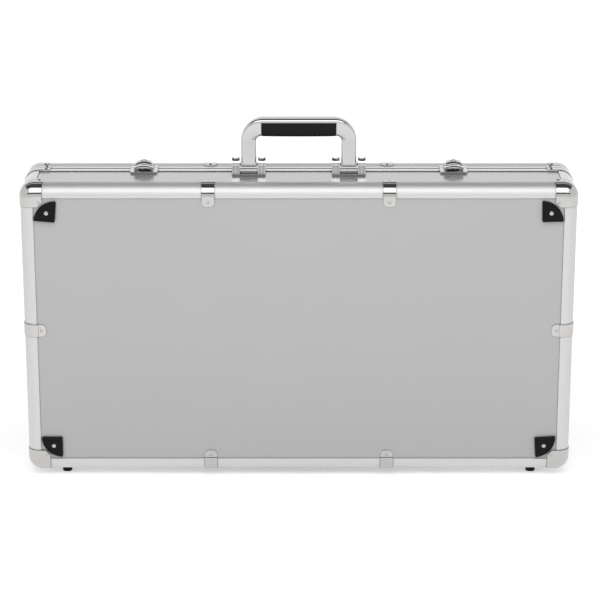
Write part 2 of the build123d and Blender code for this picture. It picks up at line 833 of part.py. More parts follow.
def lever_body(latch_x, inset, start, end):
    """The lever's outer form between two depths, drawn in by an inset: a dome with a flat underside."""
    with BuildPart() as body:
        with Locations((latch_x, depth_y(lever_crown_at), top_z + lever_crown_height - lever_crown_radius)):
            Sphere(lever_crown_radius - inset, rotation=(90, 0, 0))
        with BuildSketch(Plane.XY.offset(top_z + lever_underside)):
            with Locations((latch_x, depth_y((start + end) / 2))):
                Rectangle(lever_width - 2 * inset, end - start)
        extrude(amount=lever_crown_height, mode=Mode.INTERSECT)
    return body.part


for latch_name, sign in SIDES:
    latch_x = sign * latch_offset
    section = side_plane(latch_x, top_z, 1)

    with BuildPart() as latch_base:
        with BuildSketch(section):
            with BuildLine():
                Polyline(
                    (latch_plate_start, -skin),
                    (base_rim_start - clip_step, -skin),
                    (base_rim_start - clip_step, 0),
                    (plate_end, 0),
                    (plate_end, latch_plate),
                    (latch_plate_start, latch_plate),
                    close=True,
                )
            make_face()
        extrude(amount=latch_plate_width / 2, both=True)
        fillet(latch_base.edges().filter_by(Axis.Z).group_by(Axis.Y)[0], cheek_round)
        for cheek_sign in (-1, 1):
            cheek_middle = latch_x + cheek_sign * (cheek_inner + cheek_thickness / 2)
            with BuildSketch(side_plane(cheek_middle, top_z, 1)):
                with BuildLine():
                    FilletPolyline(
                        (cheek_start, latch_plate / 2),
                        (cheek_start, cheek_height),
                        (cheek_end, cheek_height),
                        (cheek_end, latch_plate / 2),
                        radius=cheek_round,
                    )
                    Line((cheek_end, latch_plate / 2), (cheek_start, latch_plate / 2))
                make_face()
            extrude(amount=cheek_thickness / 2, both=True)
        with BuildSketch(section):
            with Locations((latch_pivot_at, latch_pivot_height)):
                Circle(latch_pin_radius + running_clearance)
        extrude(amount=latch_plate_width, both=True, mode=Mode.SUBTRACT)
    save(latch_base, f"latch_base_{latch_name}")

    with BuildPart() as latch_pin:
        with BuildSketch(section):
            with Locations((latch_pivot_at, latch_pivot_height)):
                Circle(latch_pin_radius)
        extrude(amount=cheek_outer + sheet, both=True)
    save(latch_pin, f"latch_pin_{latch_name}")

    with BuildPart() as latch_lever:
        add(lever_body(latch_x, 0, lever_front, lever_tip))
        fillet(latch_lever.faces().sort_by(Axis.Z)[-1].edges(), lever_round)
        with BuildSketch(section):
            with Locations((latch_pivot_at, latch_pivot_height)):
                Circle(lever_barrel_radius)
        extrude(amount=lever_width / 2, both=True)
        with BuildSketch(section):
            with Locations((latch_pivot_at, latch_pivot_height)):
                Circle(lever_barrel_radius)
        extrude(amount=lever_width / 2 - lever_wall, both=True, mode=Mode.SUBTRACT)
        add(lever_body(latch_x, lever_wall, lever_front, lever_tip - lever_wall), mode=Mode.SUBTRACT)
        with BuildSketch(section):
            with Locations((latch_pivot_at, latch_pivot_height)):
                Circle(latch_pin_radius + running_clearance)
        extrude(amount=lever_width, both=True, mode=Mode.SUBTRACT)
        with BuildSketch(Plane.XY.offset(top_z)):
            with Locations((latch_x, depth_y(lock_at))):
                Circle(lock_radius + running_clearance)
        extrude(amount=2 * lever_crown_height, mode=Mode.SUBTRACT)
    save(latch_lever, f"latch_lever_{latch_name}")

    with BuildPart() as latch_hook:
        with BuildSketch(section):
            with BuildLine():
                Polyline(
                    (hook_root, lever_crown_height),
                    (hook_root, lever_underside + hook_plate),
                    (hook_nose_end - hook_plate, lever_underside + hook_plate),
                    (hook_nose_end - hook_plate, lever_underside),
                    (hook_nose_end, lever_underside),
                    (hook_nose_end, lever_underside + 2 * hook_plate),
                    (hook_root + hook_plate, lever_underside + 2 * hook_plate),
                    (hook_root + hook_plate, lever_crown_height),
                    close=True,
                )
            make_face()
        extrude(amount=hook_width / 2, both=True)
        add(lever_body(latch_x, lever_wall + sheet_clearance, hook_root, hook_nose_end), mode=Mode.INTERSECT)
    save(latch_hook, f"latch_hook_{latch_name}")

    lock_top = lever_crown_height + lock_proud
    with BuildPart() as key_lock:
        with BuildSketch(Plane.XY.offset(top_z + lock_bottom)):
            with Locations((latch_x, depth_y(lock_at))):
                Circle(lock_radius)
        extrude(amount=lock_top - lock_bottom)
        fillet(key_lock.faces().sort_by(Axis.Z)[-1].edges(), lock_proud / 2)
        with BuildSketch(Plane.XY.offset(top_z + lock_bottom)):
            with Locations((latch_x, depth_y(lock_at - cam_length / 2))):
                Rectangle(cam_width, cam_length)
        extrude(amount=cam_thickness)
        with BuildSketch(Plane.XY.offset(top_z + lock_top - keyway_depth)):
            with Locations((latch_x, depth_y(lock_at))):
                Rectangle(keyway_width, keyway_length)
                Circle(keyway_width)
        extrude(amount=2 * keyway_depth, mode=Mode.SUBTRACT)
    save(key_lock, f"key_lock_{latch_name}")

    with BuildPart() as latch_keeper:
        with BuildSketch(section):
            with BuildLine():
                Polyline(
                    (lid_plate_start, 0),
                    (lid_plate_end, 0),
                    (lid_plate_end, latch_plate),
                    (lid_plate_start, latch_plate),
                    close=True,
                )
            make_face()
        extrude(amount=latch_plate_width / 2, both=True)
        fillet(latch_keeper.edges().filter_by(Axis.Z).group_by(Axis.Y)[-1], cheek_round)
        with BuildSketch(section):
            with Locations((lip_at + lip_thickness / 2, lip_height / 2)):
                Rectangle(lip_thickness, lip_height)
        extrude(amount=lip_width / 2, both=True)
        for cheek_sign in (-1, 1):
            cheek_middle = latch_x + cheek_sign * (cheek_inner + cheek_thickness / 2)
            with BuildSketch(side_plane(cheek_middle, top_z, 1)):
                with BuildLine():
                    FilletPolyline(
                        (keeper_cheek_start, latch_plate / 2),
                        (keeper_cheek_start, keeper_cheek_height),
                        (keeper_cheek_end, latch_plate + keeper_cheek_round),
                        (keeper_cheek_end, latch_plate / 2),
                        radius=keeper_cheek_round,
                    )
                    Line((keeper_cheek_end, latch_plate / 2), (keeper_cheek_start, latch_plate / 2))
                make_face()
            extrude(amount=cheek_thickness / 2, both=True)
    save(latch_keeper, f"latch_keeper_{latch_name}")

# ---- hinges on the underside of the parting line ---------------------------------------------------
knuckle_pitch = (hinge_length + hinge_knuckle_gap) / hinge_knuckles
knuckle_length = knuckle_pitch - hinge_knuckle_gap


def hinge_leaf(hinge_x, outline, knuckle_numbers):
    """One leaf: a strip on the frame with its own knuckles rolled round the pin."""
    with BuildPart() as leaf:
        with BuildSketch(side_plane(hinge_x, bottom_z, -1)):
            with BuildLine():
                Polyline(*outline, close=True)
            make_face()
        extrude(amount=hinge_length / 2, both=True)
        side = 1 if outline[0][0] > base_depth else -1
        for number in knuckle_numbers:
            knuckle_x = hinge_x + (number - (hinge_knuckles - 1) / 2) * knuckle_pitch
            with BuildSketch(side_plane(knuckle_x, bottom_z, -1)):
                with Locations((base_depth, hinge_axis_height)):
                    Circle(knuckle_radius)
                root = base_depth + side * (knuckle_radius + leaf_relief)
                reach = knuckle_radius + leaf_relief - leaf_thickness
                with Locations((root - side * reach / 2, leaf_thickness / 2)):
                    Rectangle(reach, leaf_thickness)
            extrude(amount=knuckle_length / 2, both=True)
        with BuildSketch(side_plane(hinge_x, bottom_z, -1)):
            with Locations((base_depth, hinge_axis_height)):
                Circle(hinge_pin_radius + running_clearance)
        extrude(amount=hinge_length, both=True, mode=Mode.SUBTRACT)
    return leaf


leaf_root = knuckle_radius + leaf_relief
leaf_step = base_rim_start - clip_step
base_leaf_outline = [
    (base_depth - leaf_root, 0),
    (leaf_step, 0),
    (leaf_step, -skin),
    (base_depth - leaf_reach, -skin),
    (base_depth - leaf_reach, leaf_thickness - skin),
    (leaf_step - leaf_thickness, leaf_thickness - skin),
    (leaf_step - leaf_thickness, leaf_thickness),
    (base_depth - leaf_root, leaf_thickness),
]
lid_leaf_outline = [
    (base_depth + leaf_root, 0),
    (base_depth + leaf_reach, 0),
    (base_depth + leaf_reach, leaf_thickness),
    (base_depth + leaf_root, leaf_thickness),
]
for hinge_name, sign in SIDES:
    hinge_x = sign * hinge_offset
    base_leaf = hinge_leaf(hinge_x, base_leaf_outline, range(0, hinge_knuckles, 2))
    save(base_leaf, f"hinge_leaf_base_{hinge_name}")
    lid_leaf = hinge_leaf(hinge_x, lid_leaf_outline, range(1, hinge_knuckles, 2))
    save(lid_leaf, f"hinge_leaf_lid_{hinge_name}")

with BuildPart() as hinge_pins:
    with Locations(*[(sign * hinge_offset, hinge_y, hinge_z) for name, sign in SIDES]):
        Cylinder(hinge_pin_radius, hinge_length, rotation=(0, 90, 0))
save(hinge_pins, "hinge_pins")

# ---- foam lining -----------------------------------------------------------------------------------
lining_inset = frame_back + lining_clearance
floor_top = lining_inset + floor_foam
walls_start = floor_top + lining_clearance
walls_end = base_rim_start - lining_clearance

with BuildPart() as floor_lining:
    with BuildSketch(front_plane(lining_inset)):
        RectangleRounded(case_width - 2 * lining_inset, case_height - 2 * lining_inset, foam_corner)
    extrude(amount=-floor_foam)
save(floor_lining, "base_floor_foam")

with BuildPart() as wall_lining:
    with BuildSketch(front_plane(walls_start)):
        lining_edge = lining_inset + wall_foam / 2
        with Locations((0, half_height - lining_edge), (0, lining_edge - half_height)):
            Rectangle(case_width - 2 * lining_inset, wall_foam)
        side_strip = case_height - 2 * (lining_inset + wall_foam + lining_clearance)
        with Locations((half_width - lining_edge, 0), (lining_edge - half_width, 0)):
            Rectangle(wall_foam, side_strip)
    extrude(amount=-(walls_end - walls_start))
save(wall_lining, "base_wall_foam")

with BuildPart() as lid_lining:
    with BuildSketch(front_plane(case_depth - lining_inset - lid_foam_thickness)):
        RectangleRounded(case_width - 2 * lining_inset, case_height - 2 * lining_inset, foam_corner)
    extrude(amount=-lid_foam_thickness)
save(lid_lining, "lid_foam")
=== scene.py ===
"""Looks for a guitar pedal case: finishes, modelled soft parts, stage, lights and camera."""
import json
import logging
import math
from dataclasses import dataclass
from enum import Enum
from typing import Iterable, Sequence

import bmesh
import bpy
from mathutils import Euler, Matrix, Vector


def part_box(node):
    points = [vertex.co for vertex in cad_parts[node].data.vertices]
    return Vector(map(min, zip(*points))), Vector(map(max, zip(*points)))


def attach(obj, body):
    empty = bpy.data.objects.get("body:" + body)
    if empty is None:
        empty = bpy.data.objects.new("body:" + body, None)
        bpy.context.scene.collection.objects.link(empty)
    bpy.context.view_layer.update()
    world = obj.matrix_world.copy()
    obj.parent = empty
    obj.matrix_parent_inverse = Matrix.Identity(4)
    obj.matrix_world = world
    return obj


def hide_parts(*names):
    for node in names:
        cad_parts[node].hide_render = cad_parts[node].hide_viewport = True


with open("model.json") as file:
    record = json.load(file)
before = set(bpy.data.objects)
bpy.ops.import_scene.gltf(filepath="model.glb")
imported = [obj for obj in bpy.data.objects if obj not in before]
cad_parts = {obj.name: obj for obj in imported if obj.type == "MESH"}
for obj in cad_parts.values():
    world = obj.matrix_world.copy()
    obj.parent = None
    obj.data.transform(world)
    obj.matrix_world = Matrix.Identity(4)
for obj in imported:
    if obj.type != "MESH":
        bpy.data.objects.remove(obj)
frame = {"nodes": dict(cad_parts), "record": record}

log = logging.getLogger("pedal_case")

MM = 0.001
PARTING_DEPTH = 22 * MM
ARC_CENTRE = (0.0, 0.0, 0.39)
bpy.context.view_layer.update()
NODES: dict[str, bpy.types.Object] = frame["nodes"]
BODY_OF: dict[str, str] = {
    node: body
    for body, members in frame["record"]["behaviour"]["bodies"].items()
    for node in members
}


class Along(Enum):
    """World axis that an extrusion is drawn along."""

    X = 0
    Y = 1
    Z = 2


# ---- shader building -----------------------------------------------------------------------------

NOISE_RANGE = (0.25, 0.75)
PLAIN_DETAIL = 2.0
FINE_DETAIL = 3.0
RICH_DETAIL = 4.0
# Painted shade in seams: ambient-occlusion samples, and the openness over which the shade fades
# out.
SEAM_SAMPLES = 6
SEAM_CLOSED = 0.35
SEAM_OPEN = 0.85
# Share of the painted parting shadow's reach that is fully dark.
PARTING_CORE = 0.6


def shade(colour: Sequence[float], factor: float) -> tuple[float, ...]:
    """A colour made lighter or darker by a factor."""
    return tuple(channel * factor for channel in colour)


class Shader:
    """A small builder of one material's nodes."""

    def __init__(self, name: str) -> None:
        """Start a material with a Principled shader.

        Args:
            name: The material's name.
        """
        self.material = bpy.data.materials.new(name)
        self.material.use_nodes = True
        self.tree = self.material.node_tree
        self.surface = self.tree.nodes["Principled BSDF"]
        self.output = self.tree.nodes["Material Output"]

    def node(self, kind: str, **settings: object) -> bpy.types.Node:
        """Add a node.

        Args:
            kind: The node's type name without the ShaderNode prefix.
            settings: Attributes to set on the node.

        Returns:
            The new node.
        """
        made = self.tree.nodes.new("ShaderNode" + kind)
        for key, value in settings.items():
            setattr(made, key, value)
        return made

    def link(self, source: bpy.types.NodeSocket, target: bpy.types.NodeSocket) -> None:
        """Connect one socket to another."""
        self.tree.links.new(source, target)

    def set(self, **values: object) -> None:
        """Set plain values on the Principled shader's sockets; an underscore stands for a space."""
        for key, value in values.items():
            self.surface.inputs[key.replace("_", " ")].default_value = value

    def place(self, stretch: Sequence[float] = (1, 1, 1)) -> bpy.types.NodeSocket:
        """Coordinates in metres in the part's frame, stretched on each axis.

        Args:
            stretch: Factor for each axis; a small factor draws a pattern out along that axis.

        Returns:
            The vector socket to feed a texture.
        """
        coordinates = self.node("TexCoord")
        mapping = self.node("Mapping")
        mapping.inputs["Scale"].default_value = stretch
        self.link(coordinates.outputs["Object"], mapping.inputs["Vector"])
        return mapping.outputs["Vector"]

    def noise(
        self, vector: bpy.types.NodeSocket, scale: float, detail: float = PLAIN_DETAIL
    ) -> bpy.types.NodeSocket:
        """A noise texture.

        Args:
            vector: Coordinates.
            scale: Features per metre.
            detail: How many finer layers it has.

        Returns:
            The texture's factor.
        """
        texture = self.node("TexNoise")
        texture.inputs["Scale"].default_value = scale
        texture.inputs["Detail"].default_value = detail
        self.link(vector, texture.inputs["Vector"])
        return texture.outputs["Fac"]

    def cells(self, vector: bpy.types.NodeSocket, scale: float) -> bpy.types.NodeSocket:
        """A texture of rounded cells.

        Args:
            vector: Coordinates.
            scale: Cells per metre.

        Returns:
            The distance from the middle of the nearest cell.
        """
        texture = self.node("TexVoronoi")
        texture.inputs["Scale"].default_value = scale
        self.link(vector, texture.inputs["Vector"])
        return texture.outputs["Distance"]

    def ramp(
        self,
        value: bpy.types.NodeSocket,
        before: tuple[float, float],
        after: tuple[float, float],
    ) -> bpy.types.NodeSocket:
        """Map one range of values on to another, held at both ends.

        Args:
            value: The socket to map.
            before: Its range.
            after: The range that it becomes.

        Returns:
            The mapped socket.
        """
        ranged = self.node("MapRange")
        ranged.inputs["From Min"].default_value, ranged.inputs["From Max"].default_value = before
        ranged.inputs["To Min"].default_value, ranged.inputs["To Max"].default_value = after
        self.link(value, ranged.inputs["Value"])
        return ranged.outputs["Result"]

    def sum(self, operation: str, *terms: bpy.types.NodeSocket | float) -> bpy.types.NodeSocket:
        """One sum of one or two terms.

        Args:
            operation: The Math node's operation.
            terms: Sockets or plain numbers.

        Returns:
            The result.
        """
        made = self.node("Math", operation=operation)
        for place, term in zip(made.inputs, terms):
            if isinstance(term, float):
                place.default_value = term
            else:
                self.link(term, place)
        return made.outputs["Value"]

    def tint(
        self, value: bpy.types.NodeSocket, colour: Sequence[float], darkest: float, lightest: float
    ) -> None:
        """Colour the surface between two shades of a colour by a texture value.

        Args:
            value: The texture's value, from 0 to 1.
            colour: The colour.
            darkest: Factor on the colour at 0.
            lightest: Factor on the colour at 1.
        """
        mix = self.node("Mix", data_type="RGBA")
        mix.inputs["A"].default_value = (*shade(colour, darkest), 1)
        mix.inputs["B"].default_value = (*shade(colour, lightest), 1)
        self.link(value, mix.inputs["Factor"])
        self.link(mix.outputs["Result"], self.surface.inputs["Base Color"])

    def paint_seam_shade(self, reach: float, darkest: float, clear: float = SEAM_OPEN) -> None:
        """Paint shade on the surface where it runs close to another, as shade falls in seams.

        Args:
            reach: How far from a seam the painted shade goes, in metres.
            darkest: Factor on the colour in the tightest seam.
            clear: Openness from which the surface stays unshaded.
        """
        openness = self.node("AmbientOcclusion", samples=SEAM_SAMPLES)
        openness.inputs["Distance"].default_value = reach
        self.darken(self.ramp(openness.outputs["AO"], (SEAM_CLOSED, clear), (darkest, 1.0)))

    def parting(self, depth: float, reach: float, darkest: float) -> None:
        """Paint a shadow line on the surface on both sides of an upright plane, where the parting
        gap's shade falls.

        Args:
            depth: Where the plane stands on the Y axis, in metres in the part's frame.
            reach: How far from the plane the dark goes.
            darkest: Factor on the colour at the plane.
        """
        split = self.node("SeparateXYZ")
        self.link(self.place(), split.inputs["Vector"])
        distance = self.sum("ABSOLUTE", self.sum("SUBTRACT", split.outputs["Y"], depth))
        self.darken(self.ramp(distance, (PARTING_CORE * reach, reach), (darkest, 1.0)))

    def darken(self, factor: bpy.types.NodeSocket) -> None:
        """Multiply the surface's colour by a factor.

        Args:
            factor: The factor.
        """
        darken = self.node("Mix", data_type="RGBA", blend_type="MULTIPLY")
        darken.inputs["Factor"].default_value = 1.0
        colour = self.surface.inputs["Base Color"]
        if colour.is_linked:
            self.link(colour.links[0].from_socket, darken.inputs["A"])
        else:
            darken.inputs["A"].default_value = colour.default_value
        self.link(factor, darken.inputs["B"])
        self.link(darken.outputs["Result"], colour)

    def roughen(self, value: bpy.types.NodeSocket, low: float, high: float) -> None:
        """Vary the roughness between two values by a texture value."""
        self.link(self.ramp(value, NOISE_RANGE, (low, high)), self.surface.inputs["Roughness"])

    def bump(self, layers: Iterable[tuple[bpy.types.NodeSocket, float, float]]) -> None:
        """Stack bump layers on the surface.

        Args:
            layers: Height socket, strength and depth in metres for each layer, coarse first.
        """
        normal = None
        for height, strength, depth in layers:
            bump = self.node("Bump")
            bump.inputs["Strength"].default_value = strength
            bump.inputs["Distance"].default_value = depth
            self.link(height, bump.inputs["Height"])
            if normal is not None:
                self.link(normal, bump.inputs["Normal"])
            normal = bump.outputs["Normal"]
        if normal is not None:
            self.link(normal, self.surface.inputs["Normal"])


# ---- finishes ------------------------------------------------------------------------------------


@dataclass(frozen=True)
class LaminateFinish:
    """Silver laminate on board: a satin face with a fine metallic grain under a clear film."""

    name: str = "face_laminate"
    colour: tuple[float, float, float] = (0.49, 0.49, 0.495)
    variation: float = 0.03
    metallic: float = 0.25
    roughness: tuple[float, float] = (0.34, 0.40)
    film: float = 0.35
    film_roughness: float = 0.16
    grain_per_metre: float = 2600.0
    cloud_per_metre: float = 9.0
    cloud_bump: tuple[float, float] = (0.02, 2 * MM)
    grain_bump: tuple[float, float] = (0.06, 0.05 * MM)
    # Painted shade in seams: how far it reaches and how dark it gets.
    seam: float = 2.5 * MM
    seam_darkest: float = 0.45

    def build(self) -> bpy.types.Material:
        """Make the material.

        Returns:
            The material.
        """
        shader = Shader(self.name)
        shader.set(
            Metallic=self.metallic, Coat_Weight=self.film, Coat_Roughness=self.film_roughness
        )
        space = shader.place()
        grain = shader.noise(space, self.grain_per_metre, FINE_DETAIL)
        cloud = shader.noise(space, self.cloud_per_metre)
        shader.tint(grain, self.colour, 1 - self.variation, 1 + self.variation)
        # Painted shade: darker where the surface runs close to another part.
        shader.paint_seam_shade(self.seam, self.seam_darkest)
        shader.roughen(cloud, *self.roughness)
        shader.bump([(cloud, *self.cloud_bump), (grain, *self.grain_bump)])
        return shader.material


@dataclass(frozen=True)
class DrawnAluminiumFinish:
    """Satin anodised aluminium extrusion, with fine die lines drawn along its length."""

    along: Along
    name: str = "drawn_aluminium"
    colour: tuple[float, float, float] = (0.65, 0.65, 0.655)
    variation: float = 0.025
    metallic: float = 0.88
    roughness: tuple[float, float] = (0.50, 0.58)
    lines_per_metre: float = 1500.0
    bands_per_metre: float = 250.0
    streak: float = 0.012
    line_bump: tuple[float, float] = (0.10, 0.04 * MM)
    # Painted shade in seams and grooves: how far it reaches, how dark it gets and from what
    # openness it is gone.
    seam: float = 3.0 * MM
    seam_darkest: float = 0.10
    seam_clear: float = 0.96
    # Painted shadow line along the parting: where it stands, its reach and its darkest factor.
    parting_depth: float | None = None
    parting_reach: float = 2.6 * MM
    parting_darkest: float = 0.25

    def build(self) -> bpy.types.Material:
        """Make the material.

        Returns:
            The material.
        """
        shader = Shader(f"{self.name}_{self.along.name.lower()}")
        shader.set(Metallic=self.metallic)
        stretch = [1.0, 1.0, 1.0]
        stretch[self.along.value] = self.streak
        drawn = shader.place(stretch)
        lines = shader.noise(drawn, self.lines_per_metre, FINE_DETAIL)
        bands = shader.noise(drawn, self.bands_per_metre)
        shader.tint(bands, self.colour, 1 - self.variation, 1 + self.variation)
        # Painted shade: darker where the surface runs close to another part.
        shader.paint_seam_shade(self.seam, self.seam_darkest, self.seam_clear)
        # Painted shadow line along the parting, for the rims.
        if self.parting_depth is not None:
            shader.parting(self.parting_depth, self.parting_reach, self.parting_darkest)
        shader.roughen(lines, *self.roughness)
        shader.bump([(lines, *self.line_bump)])
        return shader.material


@dataclass(frozen=True)
class NickelFinish:
    """Nickel plate on pressed steel: warm and bright, with faint ripples and rub marks."""

    name: str = "nickel_plate"
    colour: tuple[float, float, float] = (0.50, 0.492, 0.48)
    variation: float = 0.05
    roughness: tuple[float, float] = (0.06, 0.14)
    ripple_per_metre: float = 55.0
    rub_per_metre: float = 900.0
    rub_stretch: tuple[float, float, float] = (1, 1, 0.15)
    ripple_bump: tuple[float, float] = (0.10, 0.6 * MM)
    rub_bump: tuple[float, float] = (0.03, 0.04 * MM)
    # Painted shade in seams: how far it reaches and how dark it gets.
    seam: float = 1.2 * MM
    seam_darkest: float = 0.30

    def build(self) -> bpy.types.Material:
        """Make the material.

        Returns:
            The material.
        """
        shader = Shader(self.name)
        shader.set(Metallic=1.0)
        space = shader.place()
        ripple = shader.noise(space, self.ripple_per_metre)
        rub = shader.noise(shader.place(self.rub_stretch), self.rub_per_metre, RICH_DETAIL)
        shader.tint(ripple, self.colour, 1 - self.variation, 1 + self.variation)
        # Painted shade: darker where the surface runs close to another part.
        shader.paint_seam_shade(self.seam, self.seam_darkest)
        shader.roughen(rub, *self.roughness)
        shader.bump([(ripple, *self.ripple_bump), (rub, *self.rub_bump)])
        return shader.material


@dataclass(frozen=True)
class ChromeFinish:
    """Bright chrome plate on castings and stampings."""

    name: str = "chrome_plate"
    colour: tuple[float, float, float] = (0.61, 0.61, 0.62)
    roughness: tuple[float, float] = (0.04, 0.09)
    wave_per_metre: float = 70.0
    haze_per_metre: float = 400.0
    wave_bump: tuple[float, float] = (0.10, 0.5 * MM)
    # Painted shade in seams: how far it reaches and how dark it gets.
    seam: float = 3.0 * MM
    seam_darkest: float = 0.12

    def build(self) -> bpy.types.Material:
        """Make the material.

        Returns:
            The material.
        """
        shader = Shader(self.name)
        shader.set(Metallic=1.0, Base_Color=(*self.colour, 1))
        # Painted shade: darker where the surface runs close to another part.
        shader.paint_seam_shade(self.seam, self.seam_darkest)
        space = shader.place()
        wave = shader.noise(space, self.wave_per_metre)
        haze = shader.noise(space, self.haze_per_metre, RICH_DETAIL)
        shader.roughen(haze, *self.roughness)
        shader.bump([(wave, *self.wave_bump)])
        return shader.material


@dataclass(frozen=True)
class MouldedFinish:
    """Black moulded rubber or vinyl with a fine grain in the mould's surface."""

    name: str
    colour: tuple[float, float, float]
    roughness: tuple[float, float]
    grain_per_metre: float
    grain_depth: float
    pebbled: bool = False
    specular: float = 0.15
    shades: tuple[float, float] = (0.8, 1.25)
    fine_per_grain: float = 2.5
    grain_strength: float = 0.5
    fine_strength: float = 0.2

    def build(self) -> bpy.types.Material:
        """Make the material.

        Returns:
            The material.
        """
        shader = Shader(self.name)
        shader.set(Specular_IOR_Level=self.specular)
        space = shader.place()
        fine = shader.noise(space, self.grain_per_metre * self.fine_per_grain, FINE_DETAIL)
        pattern = shader.cells if self.pebbled else shader.noise
        grain = pattern(space, self.grain_per_metre)
        shader.tint(fine, self.colour, *self.shades)
        shader.roughen(fine, *self.roughness)
        shader.bump([
            (grain, self.grain_strength, self.grain_depth),
            (fine, self.fine_strength, self.grain_depth / 2),
        ])
        return shader.material


@dataclass(frozen=True)
class FoamFinish:
    """Charcoal open-cell foam, with painted shade in its pores' pits and painted light on their
    rims.
    """

    name: str = "open_cell_foam"
    colour: tuple[float, float, float] = (0.030, 0.030, 0.033)
    shades: tuple[float, float] = (0.45, 1.5)
    roughness: float = 0.95
    sheen: float = 0.25
    sheen_roughness: float = 0.6
    pores_per_metre: float = 750.0
    clumps_per_metre: float = 150.0
    clump_bump: tuple[float, float] = (0.35, 0.9 * MM)
    pore_bump: tuple[float, float] = (0.7, 0.6 * MM)

    def build(self) -> bpy.types.Material:
        """Make the material.

        Returns:
            The material.
        """
        shader = Shader(self.name)
        shader.set(
            Roughness=self.roughness, Sheen_Weight=self.sheen, Sheen_Roughness=self.sheen_roughness
        )
        space = shader.place()
        pores = shader.cells(space, self.pores_per_metre)
        clumps = shader.noise(space, self.clumps_per_metre, RICH_DETAIL)
        # Painted shade and light: the pores' pits, which the bump sinks, are darker and their rims
        # lighter.
        shader.tint(pores, self.colour, *self.shades)
        shader.bump([(clumps, *self.clump_bump), (pores, *self.pore_bump)])
        return shader.material


class Finishes:
    """The set of finishes, built once, and which node takes which."""

    def __init__(self) -> None:
        """Build every material."""
        self.face_laminate = LaminateFinish().build()
        # Painted light: the walls are the same laminate as the face, but this copy is lighter, more
        # metallic and glossier, so the top walls look brighter.
        self.brightened_wall_laminate = LaminateFinish(
            "brightened_wall_laminate", (0.50, 0.495, 0.495), metallic=0.8, roughness=(0.20, 0.26), film=0.15
        ).build()
        self.drawn = {along: DrawnAluminiumFinish(along).build() for along in (Along.X, Along.Z)}
        # The rims take a painted shadow line along the parting between base and lid.
        self.rim = DrawnAluminiumFinish(
            Along.X,
            "rim_aluminium",
            (0.72, 0.72, 0.725),
            roughness=(0.22, 0.30),
            parting_depth=PARTING_DEPTH,
        ).build()
        self.posts = DrawnAluminiumFinish(
            Along.Y, "post_aluminium", (0.70, 0.70, 0.705), roughness=(0.22, 0.30)
        ).build()
        self.nickel = NickelFinish().build()
        self.chrome = ChromeFinish().build()
        # Painted shade: the bow is plated like the rest, but this copy of the chrome is darker, so
        # its fronts show less of the bright floor.
        self.darkened_handle_chrome = ChromeFinish("darkened_handle_chrome", (0.50, 0.50, 0.508)).build()
        self.rubber = MouldedFinish(
            "black_rubber",
            (0.006, 0.006, 0.0065),
            roughness=(0.5, 0.66),
            grain_per_metre=1500.0,
            grain_depth=0.06 * MM,
        ).build()
        self.vinyl = MouldedFinish(
            "grip_vinyl",
            (0.007, 0.0065, 0.007),
            roughness=(0.40, 0.52),
            grain_per_metre=1100.0,
            grain_depth=0.08 * MM,
            pebbled=True,
        ).build()
        self.foam = FoamFinish().build()

    def for_node(self, name: str) -> bpy.types.Material:
        """The finish of a CAD node.

        Args:
            name: The node's name.

        Returns:
            Its material, by the piece's make and, for an extrusion, by the way it is drawn.
        """
        if name.endswith("foam"):
            return self.foam
        if name in ("corner_pads", "standing_feet"):
            return self.rubber
        if name == "handle_bow":
            return self.darkened_handle_chrome
        if name == "handle_grip":
            return self.vinyl
        if name.endswith("face_panel"):
            return self.face_laminate
        if name.startswith("base_wall_"):
            return self.brightened_wall_laminate
        if name.endswith(("corner_caps", "edge_clips", "rivets", "foot_screws")):
            return self.nickel
        if name.endswith("corner_posts"):
            return self.posts
        if name.endswith(("edge_left", "edge_right")):
            return self.drawn[Along.Z]
        if name.endswith(("edge_top", "edge_bottom")):
            return self.drawn[Along.X]
        if name in ("base_rim", "lid_rim"):
            return self.rim
        return self.chrome


def dress_nodes(finishes: Finishes) -> None:
    """Give every CAD node its finish.

    Args:
        finishes: The set to choose from.
    """
    for name, node in NODES.items():
        material = finishes.for_node(name)
        node.data.materials.clear()
        node.data.materials.append(material)
        log.info("node %s: %s", name, material.name)


# ---- modelled pieces -----------------------------------------------------------------------------

SHARP_DEGREES = 35.0


def piece_from(
    name: str, shape: bmesh.types.BMesh, material: bpy.types.Material
) -> bpy.types.Object:
    """Turn a finished bmesh into a smooth-shaded object with one material.

    Args:
        name: The piece's name.
        shape: The geometry, in metres in the part's frame. It is freed.
        material: The finish.

    Returns:
        The new object, linked to the scene.
    """
    bmesh.ops.recalc_face_normals(shape, faces=shape.faces)
    mesh = bpy.data.meshes.new(name)
    shape.to_mesh(mesh)
    shape.free()
    mesh.polygons.foreach_set("use_smooth", [True] * len(mesh.polygons))
    mesh.materials.append(material)
    made = bpy.data.objects.new(name, mesh)
    bpy.context.scene.collection.objects.link(made)
    return made


def join_rings(
    shape: bmesh.types.BMesh, before: list[bmesh.types.BMVert], after: list[bmesh.types.BMVert]
) -> None:
    """Join two closed rings of as many points with a band of faces.

    Args:
        shape: The geometry that they belong to.
        before: One ring.
        after: The other, in the same order.
    """
    count = len(before)
    for index in range(count):
        following = (index + 1) % count
        shape.faces.new((before[index], before[following], after[following], after[index]))


def fill_grid(shape: bmesh.types.BMesh, rows: list[list[bmesh.types.BMVert]]) -> None:
    """Fill a grid of points with faces.

    Args:
        shape: The geometry that they belong to.
        rows: Its rows of points, all of one length.
    """
    for near, far in zip(rows, rows[1:]):
        for column in range(len(near) - 1):
            following = column + 1
            shape.faces.new((near[column], near[following], far[following], far[column]))


def stand_for(piece: bpy.types.Object, node: str) -> None:
    """Let a modelled piece ride with, and stand for, a CAD node.

    Args:
        piece: The modelled object.
        node: The node that it replaces.
    """
    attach(piece, BODY_OF[node])
    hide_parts(node)
    log.info("piece %s stands for %s", piece.name, node)


